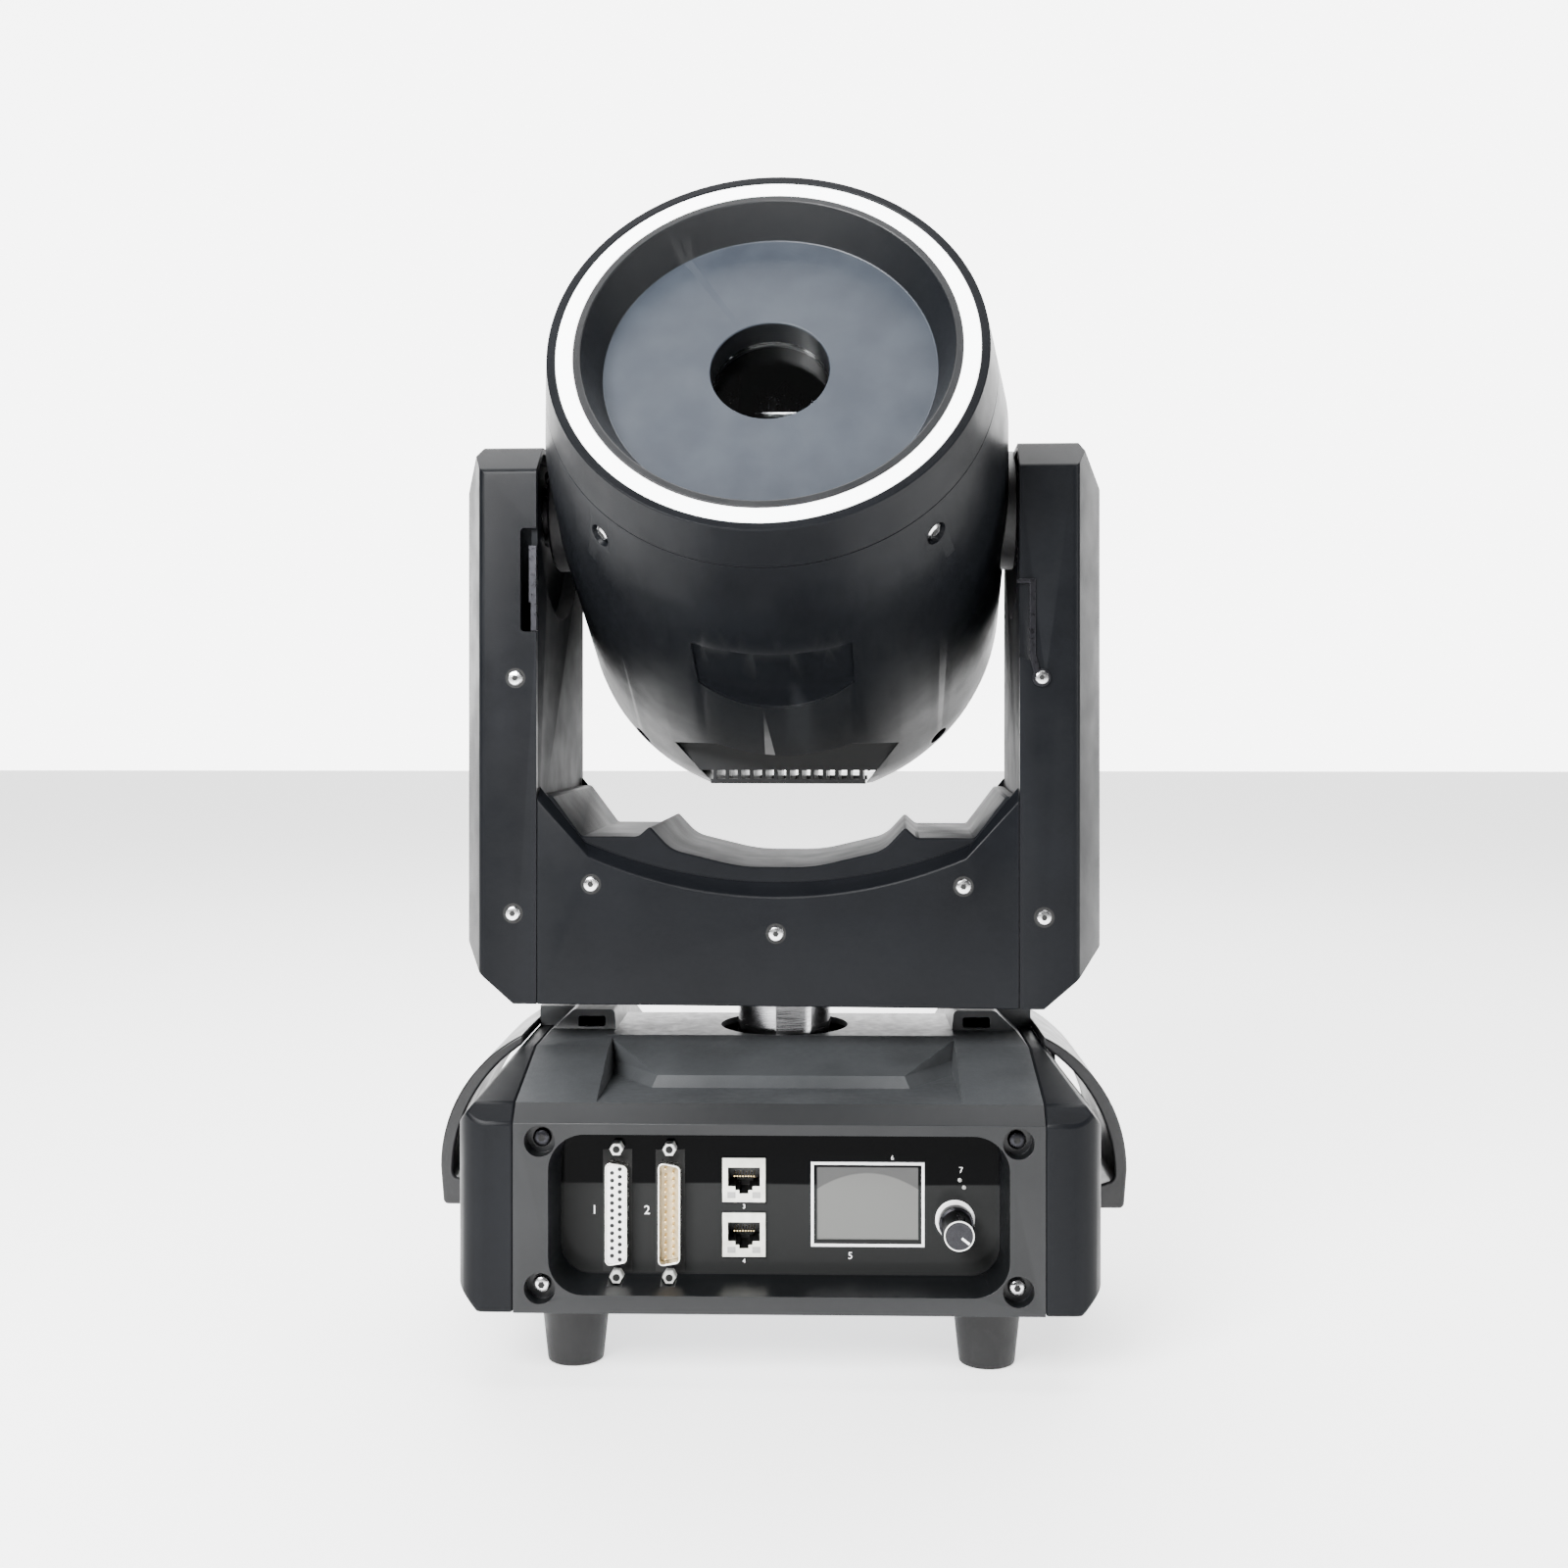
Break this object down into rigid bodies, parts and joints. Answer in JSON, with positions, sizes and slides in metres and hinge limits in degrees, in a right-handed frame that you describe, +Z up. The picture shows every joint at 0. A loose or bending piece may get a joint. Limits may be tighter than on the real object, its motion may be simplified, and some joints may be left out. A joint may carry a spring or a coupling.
{
  "type": "laser show projector",
  "caption": "Moving-head laser show projector with a barrel head on a panning yoke, a lit front ring, strap handles and a control panel in the base.",
  "frame": {"origin": "on the floor under the pan axis, midway between the four feet", "axes": "+Z up along the pan axis; -Y towards the control panel side; +X to the right seen from that side; the tilt axis runs along X"},
  "size_m": [0.268, 0.2651, 0.4464],
  "materials": {
    "black_shell": "fine satin grain",
    "black_frame": "fine satin grain",
    "black_sheet": "powder coat",
    "galvanised": "satin",
    "steel": "turned",
    "rubber": "matt",
    "strap": "soft satin",
    "aluminium": "satin",
    "black_aluminium": "anodised",
    "nickel": "nickel plate",
    "insulator_black": "matt",
    "display": "gloss",
    "halo": "translucent white",
    "window": "coated",
    "mirror": "polished",
    "board": "solder mask",
    "belt": "matt",
    "motor": "laminated steel",
    "fan_plastic": "matt"
  },
  "bodies": {
    "base": {"feet": "rubber", "base_pan": "galvanised", "spindle_carrier": "galvanised", "spindle": "steel", "base_top_cover": "black_shell", "base_front_frame": "black_frame", "base_rear_frame": "black_frame", "base_side_left": "black_shell", "base_side_right": "black_shell", "side_handles": "strap", "control_panel": "black_sheet", "display_module": "display", "dsub_shells": "nickel", "dsub_inserts": "insulator_black", "network_jacks": "insulator_black", "menu_encoder": "insulator_black", "rear_panel": "black_sheet", "power_inlet": "insulator_black", "xlr_sockets": "nickel", "power_supply": "galvanised", "main_board": "board", "ring_pulley": "aluminium"},
    "yoke": {"yoke_base_plate": "black_sheet", "bearings": "steel", "arm_frames": "black_sheet", "arm_shell_left": "black_shell", "arm_shell_right": "black_shell", "arm_panel_left": "black_shell", "arm_panel_right": "black_shell", "yoke_front_cover": "black_shell", "yoke_rear_cover": "black_shell", "yoke_saddle": "black_shell", "stepper_motors": "motor", "drive_belts": "belt"},
    "head": {"head_shell_upper": "black_shell", "head_shell_lower": "black_shell", "head_front_collar": "black_shell", "halo_diffuser": "halo", "front_cup": "black_frame", "aperture_window": "window", "trunnions": "steel", "tilt_pulley": "aluminium", "head_chassis": "black_sheet", "laser_module": "black_aluminium", "galvo_block": "aluminium", "head_vent": "black_frame", "head_fan": "fan_plastic"},
    "menu_shaft": {"menu_shaft": "aluminium"},
    "menu_knob": {"menu_knob": "black_aluminium"},
    "pan_motor_pulley": {"pan_motor_pulley": "aluminium"},
    "tilt_motor_pulley": {"tilt_motor_pulley": "aluminium"},
    "tilt_lock": {"tilt_lock": "insulator_black"},
    "galvo_mirror_x": {"galvo_mirror_x": "mirror"},
    "galvo_mirror_y": {"galvo_mirror_y": "mirror"},
    "fan_rotor": {"fan_rotor": "fan_plastic"},
    "lock_lever": {"lock_lever": "insulator_black"}
  },
  "joints": [
    {"name": "pan", "type": "hinge", "parent": "base", "child": "yoke", "pos_m": [0, 0, 0.1345], "axis": [0, 0, 1], "range_deg": [-270, 270]},
    {"name": "tilt", "type": "hinge", "parent": "yoke", "child": "head", "pos_m": [0, 0, 0.326], "axis": [0.9991, -0.0419, 0], "range_deg": [-197.5, 72.5]},
    {"name": "pan_motor", "type": "hinge", "parent": "yoke", "child": "pan_motor_pulley", "pos_m": [0.05795, -0.00243, 0.142], "axis": [0, 0, 1], "continuous": true},
    {"name": "tilt_motor", "type": "hinge", "parent": "yoke", "child": "tilt_motor_pulley", "pos_m": [-0.1119, 0.00469, 0.1665], "axis": [0.9991, -0.0419, 0], "continuous": true},
    {"name": "menu_push", "type": "slide", "parent": "base", "child": "menu_shaft", "axis": [0, 1, 0], "range_m": [0, 0.0005], "stiffness_N_per_m": 400},
    {"name": "menu_turn", "type": "hinge", "parent": "menu_shaft", "child": "menu_knob", "pos_m": [0.0646, -0.085, 0.057], "axis": [0, 1, 0], "continuous": true},
    {"name": "tilt_lock_slide", "type": "slide", "parent": "yoke", "child": "tilt_lock", "axis": [0, 0, 1], "range_m": [0, 0.006]},
    {"name": "galvo_x", "type": "hinge", "parent": "head", "child": "galvo_mirror_x", "pos_m": [-0.00181, -0.04317, 0.36428], "axis": [-0.0371, -0.8862, 0.4617], "range_deg": [-12, 12]},
    {"name": "galvo_y", "type": "hinge", "parent": "head", "child": "galvo_mirror_y", "pos_m": [-0.00208, -0.04963, 0.35186], "axis": [0.9991, -0.0419, 0], "range_deg": [-12, 12]},
    {"name": "fan_spin", "type": "hinge", "parent": "head", "child": "fan_rotor", "pos_m": [0.00184, 0.04396, 0.236], "axis": [0, 0, 1], "continuous": true},
    {"name": "lock_lever_turn", "type": "hinge", "parent": "yoke", "child": "lock_lever", "pos_m": [0.09877, -0.05538, 0.257], "axis": [0.0419, 0.9991, 0], "range_deg": [0, 40]}
  ],
  "couplings": [
    {"joint": "pan_motor", "follows": "pan", "ratio": -4.25},
    {"joint": "tilt_motor", "follows": "tilt", "ratio": 2}
  ]
}
